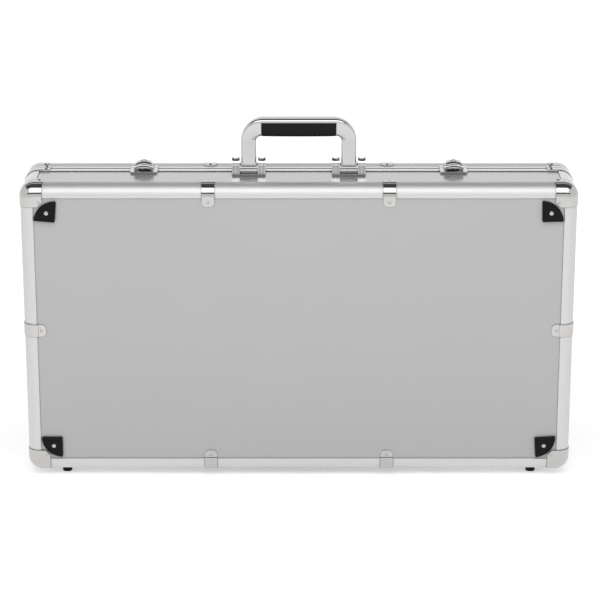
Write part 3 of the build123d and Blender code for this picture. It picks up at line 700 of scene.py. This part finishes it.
def smooth_edges(piece: bpy.types.Object, width: float, segments: int) -> None:
    """Round a piece's sharp edges and apply the result.

    Args:
        piece: The object.
        width: The bevel's width, in metres.
        segments: How many faces the bevel has across.
    """
    bevel = piece.modifiers.new("round_edges", "BEVEL")
    bevel.width = width
    bevel.segments = segments
    bevel.limit_method = "ANGLE"
    bevel.angle_limit = math.radians(SHARP_DEGREES)
    bevel.harden_normals = True
    apply_modifiers(piece)


def apply_modifiers(piece: bpy.types.Object) -> None:
    """Replace a piece's mesh by the one that its modifiers make.

    Args:
        piece: The object. Its modifiers are removed.
    """
    bpy.context.view_layer.update()
    graph = bpy.context.evaluated_depsgraph_get()
    final = bpy.data.meshes.new_from_object(piece.evaluated_get(graph))
    piece.modifiers.clear()
    piece.data = final


@dataclass
class Grip:
    """The soft grip under the handle's strap: square against the strap, rounded for the fingers."""

    node: str = "handle_grip"
    stations: int = 25
    waist: float = 0.55 * MM
    end_round: float = 1.4 * MM
    top_round: float = 1.6 * MM
    finger_round: float = 6.2 * MM
    end_share: float = 0.6
    arc_steps: int = 6

    def section(self, half_depth: float, top: float, bottom: float) -> list[tuple[float, float]]:
        """Closed outline of the grip across the handle.

        Args:
            half_depth: Half of the section's depth.
            top: Height of its top.
            bottom: Height of its underside.

        Returns:
            Points (depth, height), anticlockwise seen from +X.
        """
        outline = []
        corners = (
            (half_depth, bottom, self.finger_round, -90),
            (half_depth, top, self.top_round, 0),
            (-half_depth, top, self.top_round, 90),
            (-half_depth, bottom, self.finger_round, 180),
        )
        for depth, height, radius, start in corners:
            rise = radius if height == bottom else -radius
            centre = (depth - math.copysign(radius, depth), height + rise)
            for step in range(self.arc_steps + 1):
                angle = math.radians(start + 90 * step / self.arc_steps)
                across, upward = radius * math.cos(angle), radius * math.sin(angle)
                outline.append((centre[0] + across, centre[1] + upward))
        return outline

    def build(self, finishes: Finishes) -> bpy.types.Object:
        """Model the grip with a slight swell at its middle.

        Args:
            finishes: The set that its material comes from.

        Returns:
            The new object.
        """
        low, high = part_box(self.node)
        centre_depth = (low.y + high.y) / 2
        half_depth = (high.y - low.y) / 2
        length = high.x - low.x
        shape = bmesh.new()
        rings = []
        for station in range(self.stations):
            share = station / (self.stations - 1)
            along = low.x + length * (1 - math.cos(math.pi * share)) / 2
            from_middle = abs(2 * share - 1)
            to_end = min(along - low.x, high.x - along)
            ease = max(0.0, 1 - to_end / self.end_round)
            end_fall = self.end_round * (1 - math.sqrt(1 - ease**2)) * self.end_share
            drawn_in = self.waist * from_middle**2 + end_fall
            outline = self.section(half_depth - drawn_in, high.z, low.z + drawn_in)
            places = [(along, centre_depth + depth, height) for depth, height in outline]
            rings.append([shape.verts.new(place) for place in places])
        for before, after in zip(rings, rings[1:]):
            join_rings(shape, before, after)
        shape.faces.new(rings[0])
        shape.faces.new(rings[-1])
        piece = piece_from("soft_grip", shape, finishes.vinyl)
        stand_for(piece, self.node)
        return piece


@dataclass
class CratedFoam:
    """The lid's convoluted foam: rounded peaks towards the pedals, flat back and border."""

    node: str = "lid_foam"
    pitch: float = 26 * MM
    cells_per_peak: int = 8
    valley: float = 6.5 * MM
    border: float = 9 * MM
    plain_border: float = 3 * MM
    rim_round: float = 2.5 * MM

    def build(self, finishes: Finishes) -> bpy.types.Object:
        """Model the foam as one closed slab.

        Args:
            finishes: The set that its material comes from.

        Returns:
            The new object.
        """
        low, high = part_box(self.node)
        width, height = high.x - low.x, high.z - low.z
        across = round(width / self.pitch) * self.cells_per_peak
        upward = round(height / self.pitch) * self.cells_per_peak
        shape = bmesh.new()
        grid = []
        for row in range(upward + 1):
            line = []
            for column in range(across + 1):
                x = low.x + width * column / across
                z = low.z + height * row / upward
                edge = min(x - low.x, high.x - x, z - low.z, high.z - z)
                line.append(shape.verts.new((x, low.y + self.depth_at(x, z, edge), z)))
            grid.append(line)
        fill_grid(shape, grid)
        self.close_back(shape, grid, high.y)
        piece = piece_from("crated_foam", shape, finishes.foam)
        stand_for(piece, self.node)
        return piece

    def depth_at(self, x: float, z: float, edge: float) -> float:
        """How far the surface lies below the peaks at a point.

        Args:
            x: Place along the case.
            z: Height.
            edge: Distance to the slab's nearest side.

        Returns:
            Depth in metres, nought at a peak.
        """
        wave = math.cos(2 * math.pi * x / self.pitch) * math.cos(2 * math.pi * z / self.pitch)
        depth = self.valley * (0.5 - 0.5 * wave)
        inside = min(1.0, max(0.0, (edge - self.plain_border) / self.border))
        lip = max(0.0, 1 - edge / self.rim_round)
        return depth * inside + self.rim_round * (1 - math.sqrt(1 - lip**2))

    def close_back(
        self, shape: bmesh.types.BMesh, grid: list[list[bmesh.types.BMVert]], back: float
    ) -> None:
        """Close the slab with sides and a flat back.

        Args:
            shape: The geometry so far.
            grid: The front's rows of points, from the bottom up.
            back: Where the back stands on the Y axis.
        """
        right = [line[-1] for line in grid[:-1]]
        left = [line[0] for line in grid[:0:-1]]
        outline = grid[0][:-1] + right + grid[-1][:0:-1] + left
        behind = [shape.verts.new((vert.co.x, back, vert.co.z)) for vert in outline]
        join_rings(shape, outline, behind)
        shape.faces.new(behind)


@dataclass
class FoamSlabs:
    """Plain cut foam: closed slabs with softly rounded arrises."""

    node: str
    name: str
    arris: float = 1.8 * MM
    arris_segments: int = 3
    weld: float = 0.01 * MM
    flat_degrees: float = 2.0

    def build(self, finishes: Finishes) -> bpy.types.Object:
        """Copy the node's solids and round their edges.

        Args:
            finishes: The set that its material comes from.

        Returns:
            The new object.
        """
        shape = bmesh.new()
        shape.from_mesh(NODES[self.node].data)
        bmesh.ops.remove_doubles(shape, verts=shape.verts, dist=self.weld)
        flat = math.radians(self.flat_degrees)
        bmesh.ops.dissolve_limit(shape, angle_limit=flat, verts=shape.verts, edges=shape.edges)
        piece = piece_from(self.name, shape, finishes.foam)
        smooth_edges(piece, self.arris, self.arris_segments)
        stand_for(piece, self.node)
        return piece


# ---- stage, lights and camera --------------------------------------------------------------------

CARD_WIDTH = 4.0
CARD_GREY = 0.09


def on_arc(angle: float, distance: float) -> tuple[float, float, float]:
    """A place over the case, on an arc about its top edge.

    Args:
        angle: Degrees from straight behind, over the top, towards the camera's side.
        distance: Metres from the arc's centre.

    Returns:
        The place.
    """
    turn = math.radians(angle)
    x, y, z = ARC_CENTRE
    return (x, y + distance * math.cos(turn), z + distance * math.sin(turn))


def facing(place: Sequence[float], target: Sequence[float], axis: str) -> Euler:
    """The rotation that turns an object's axis towards a point.

    Args:
        place: Where the object stands.
        target: The point.
        axis: The object's own axis that looks at it.

    Returns:
        The rotation.
    """
    return (Vector(target) - Vector(place)).to_track_quat(axis, "Y").to_euler()


@dataclass(frozen=True)
class Card:
    """A studio card that only reflections see: it gives bright metal something to show."""

    name: str
    place: tuple[float, float, float]
    target: tuple[float, float, float]
    width: float
    height: float
    grey: float

    @classmethod
    def over_arc(cls, name: str, first: float, last: float, distance: float) -> "Card":
        """A card that covers the arc between two angles.

        Args:
            name: The card's name.
            first: Where it begins, in degrees from straight behind.
            last: Where it ends.
            distance: Metres from the arc's centre.

        Returns:
            The card.
        """
        height = 2 * distance * math.tan(math.radians(last - first) / 2)
        middle = on_arc((first + last) / 2, distance)
        return cls(name, middle, ARC_CENTRE, CARD_WIDTH, height, CARD_GREY)

    def build(self) -> None:
        """Make the card as a plane facing its target, lit evenly by itself."""
        material = bpy.data.materials.new(self.name)
        material.use_nodes = True
        tree = material.node_tree
        tree.nodes.clear()
        glow = tree.nodes.new("ShaderNodeEmission")
        glow.inputs["Color"].default_value = (self.grey, self.grey, self.grey, 1)
        output = tree.nodes.new("ShaderNodeOutputMaterial")
        tree.links.new(glow.outputs["Emission"], output.inputs["Surface"])
        shape = bmesh.new()
        bmesh.ops.create_grid(shape, x_segments=1, y_segments=1, size=0.5)
        bmesh.ops.scale(shape, vec=(self.width, self.height, 1), verts=shape.verts)
        card = piece_from(self.name, shape, material)
        card.location = self.place
        card.rotation_euler = facing(self.place, self.target, "Z")
        card.visible_camera = False
        card.visible_diffuse = False
        card.visible_shadow = False
        card.visible_transmission = False


@dataclass(frozen=True)
class Softbox:
    """A large soft lamp that looks at a point, with a backing that keeps the white room out."""

    name: str
    place: tuple[float, float, float]
    target: tuple[float, float, float]
    width: float
    height: float
    radiance: float
    backing: float
    backing_gap: float = 0.03

    def build(self) -> None:
        """Make the lamp and its backing. The lamp's power follows from its area and radiance."""
        data = bpy.data.lights.new(self.name, "AREA")
        data.shape = "RECTANGLE"
        data.size = self.width
        data.size_y = self.height
        data.energy = self.radiance * math.pi * self.width * self.height
        lamp = bpy.data.objects.new(self.name, data)
        lamp.location = self.place
        lamp.rotation_euler = facing(self.place, self.target, "-Z")
        lamp.visible_camera = False
        bpy.context.scene.collection.objects.link(lamp)
        outward = (Vector(self.place) - Vector(self.target)).normalized()
        behind = tuple(Vector(self.place) + outward * self.backing_gap)
        name = f"{self.name}_back"
        Card(name, behind, self.target, self.width, self.height, self.backing).build()


def seen_by_eye(tree: bpy.types.NodeTree) -> bpy.types.NodeSocket:
    """A socket that is 1 for camera, glossy and transmission rays, and 0 for the rest.

    Args:
        tree: The node tree to build it in.

    Returns:
        The socket.
    """
    path = tree.nodes.new("ShaderNodeLightPath")
    seen = path.outputs["Is Camera Ray"]
    for kind in ("Is Glossy Ray", "Is Transmission Ray"):
        either = tree.nodes.new("ShaderNodeMath")
        either.operation = "MAXIMUM"
        tree.links.new(seen, either.inputs[0])
        tree.links.new(path.outputs[kind], either.inputs[1])
        seen = either.outputs["Value"]
    return seen


@dataclass
class Stage:
    """White floor in a white room. Behind the case the floor steps down, where the lid swings below
    its level, and on both sides and further back it rises again too gently to see."""

    reach: float = 9.0
    dip_start: float = 16 * MM
    dip_deepest: float = 0.42
    dip_end: float = 5.0
    dip_half_width: float = 0.37
    dip_fade: float = 1.6
    dip_spread: float = 1.2
    step_depth: float = 42 * MM
    dip_depth: float = 76 * MM
    fade_steps: int = 24
    rise_steps: int = 16
    floor_colour: float = 0.82
    near_lift: float = 0.34
    far_lift: float = 0.70
    lift_reach: float = 2.2
    room_front: float = 0.36
    room_back: float = 0.85

    def white(self) -> bpy.types.Material:
        """White that shows shadows, lifted towards white for the camera and for reflections.

        Returns:
            The material.
        """
        shader = Shader("white_floor")
        colour = (self.floor_colour,) * 3
        shader.set(Base_Color=(*colour, 1), Roughness=1.0, Specular_IOR_Level=0.0)
        closeness = shader.node("TexGradient", gradient_type="QUADRATIC_SPHERE")
        shader.link(shader.place((1 / self.lift_reach,) * 3), closeness.inputs["Vector"])
        lift = shader.ramp(closeness.outputs["Fac"], (0.0, 1.0), (self.far_lift, self.near_lift))
        strength = shader.sum("MULTIPLY", seen_by_eye(shader.tree), lift)
        shader.set(Emission_Color=(1, 1, 1, 1))
        shader.link(strength, shader.surface.inputs["Emission Strength"])
        return shader.material

    def aside(self, x: float) -> float:
        """How far a point lies beside the part of the dip that the lid needs."""
        return max(0.0, abs(x) - self.dip_half_width)

    def dip(self, x: float, y: float) -> float:
        """How far the floor lies below its level at a point behind the case.

        Args:
            x: Place along the case.
            y: Place behind it.

        Returns:
            Depth in metres.
        """
        inward = min(1.0, (y - self.dip_start) / (self.dip_deepest - self.dip_start))
        away = min(1.0, max(0.0, (y - self.dip_deepest) / (self.dip_end - self.dip_deepest)))
        fade = min(1.0, self.aside(x) / self.dip_fade)
        depth = self.step_depth + (self.dip_depth - self.step_depth) * inward
        sideways = 0.5 + 0.5 * math.cos(math.pi * fade)
        backwards = 0.5 + 0.5 * math.cos(math.pi * away)
        return depth * sideways * backwards

    def build(self) -> None:
        """Make the floor and the room's light. Beside the lid the step lies back into a slope."""
        shape = bmesh.new()
        fade = self.dip_fade / self.fade_steps
        half = [self.dip_half_width + fade * step for step in range(self.fade_steps + 1)]
        lines_x = [-self.reach, *(-x for x in reversed(half)), *half, self.reach]
        rise = (self.dip_end - self.dip_deepest) / self.rise_steps
        rising = [self.dip_deepest + rise * step for step in range(self.rise_steps + 1)]
        lines_y = [self.dip_start, *rising, self.reach]
        level = (-self.reach, self.dip_start)
        rows = [[shape.verts.new((x, y, 0)) for x in lines_x] for y in level]
        for y in lines_y:
            back = [y + self.dip_spread * min(self.aside(x), self.dip_fade) for x in lines_x]
            places = [(x, place, -self.dip(x, y)) for x, place in zip(lines_x, back)]
            rows.append([shape.verts.new(place) for place in places])
        fill_grid(shape, rows)
        floor = piece_from("white_floor", shape, self.white())
        floor.data.polygons.foreach_set("use_smooth", [False] * len(floor.data.polygons))
        self.light_room()

    def light_room(self) -> None:
        """White surroundings to look at, and a fill light that is stronger behind the case."""
        world = bpy.data.worlds.new("white_room")
        bpy.context.scene.world = world
        world.use_nodes = True
        tree = world.node_tree
        background = tree.nodes["Background"]
        background.inputs["Color"].default_value = (1, 1, 1, 1)
        split = tree.nodes.new("ShaderNodeSeparateXYZ")
        direction = tree.nodes.new("ShaderNodeTexCoord").outputs["Generated"]
        tree.links.new(direction, split.inputs["Vector"])
        fill = tree.nodes.new("ShaderNodeMapRange")
        fill.inputs["To Min"].default_value = self.room_front
        fill.inputs["To Max"].default_value = self.room_back
        tree.links.new(split.outputs["Y"], fill.inputs["Value"])
        strength = tree.nodes.new("ShaderNodeMapRange")
        tree.links.new(fill.outputs["Result"], strength.inputs["To Min"])
        strength.inputs["To Max"].default_value = 1.0
        tree.links.new(seen_by_eye(tree), strength.inputs["Value"])
        tree.links.new(strength.outputs["Result"], background.inputs["Strength"])


SOFTBOXES = (
    Softbox(
        "overhead_softbox",
        place=on_arc(133, 1.43),
        target=ARC_CENTRE,
        width=2.2,
        height=1.04,
        radiance=2.5,
        backing=0.10,
    ),
    Softbox(
        "front_softbox",
        place=(-0.4, -3.2, 1.6),
        target=(0.0, 0.0, 0.20),
        width=2.4,
        height=1.4,
        radiance=0.30,
        backing=0.50,
    ),
)
CARDS = (
    Card.over_arc("low_back_card", first=38, last=56, distance=1.75),
    Card.over_arc("high_card", first=64, last=111, distance=1.55),
    Card.over_arc("low_front_card", first=155, last=166, distance=1.9),
)


@dataclass(frozen=True)
class ViewCamera:
    """The camera that looks slightly down on the case's underside panel, from straight ahead."""

    distance: float = 3.0
    pitch_degrees: float = 18.0
    aim: tuple[float, float, float] = (0.0015, 0.0, 0.2185)
    frame_width_at_aim: float = 0.765
    sensor: float = 36.0
    clip_end: float = 50.0

    def build(self) -> None:
        """Make the camera and set it as the scene's."""
        data = bpy.data.cameras.new("camera")
        data.sensor_width = self.sensor
        data.lens = self.sensor * self.distance / self.frame_width_at_aim
        camera = bpy.data.objects.new("camera", data)
        pitch = math.radians(self.pitch_degrees)
        back = Vector((0, -math.cos(pitch), math.sin(pitch)))
        camera.location = Vector(self.aim) + back * self.distance
        camera.rotation_euler = facing(camera.location, self.aim, "-Z")
        data.clip_end = self.clip_end
        bpy.context.scene.collection.objects.link(camera)
        bpy.context.scene.camera = camera


def main() -> None:
    """Build the scene in order."""
    logging.basicConfig(level=logging.INFO, format="%(message)s")
    bpy.context.scene.view_settings.view_transform = "Standard"
    ViewCamera().build()
    Stage().build()
    for softbox in SOFTBOXES:
        softbox.build()
    for card in CARDS:
        card.build()
    finishes = Finishes()
    dress_nodes(finishes)
    Grip().build(finishes)
    CratedFoam().build(finishes)
    FoamSlabs("base_floor_foam", "floor_foam_slab").build(finishes)
    FoamSlabs("base_wall_foam", "wall_foam_slabs").build(finishes)


if __name__ == "__main__":
    main()
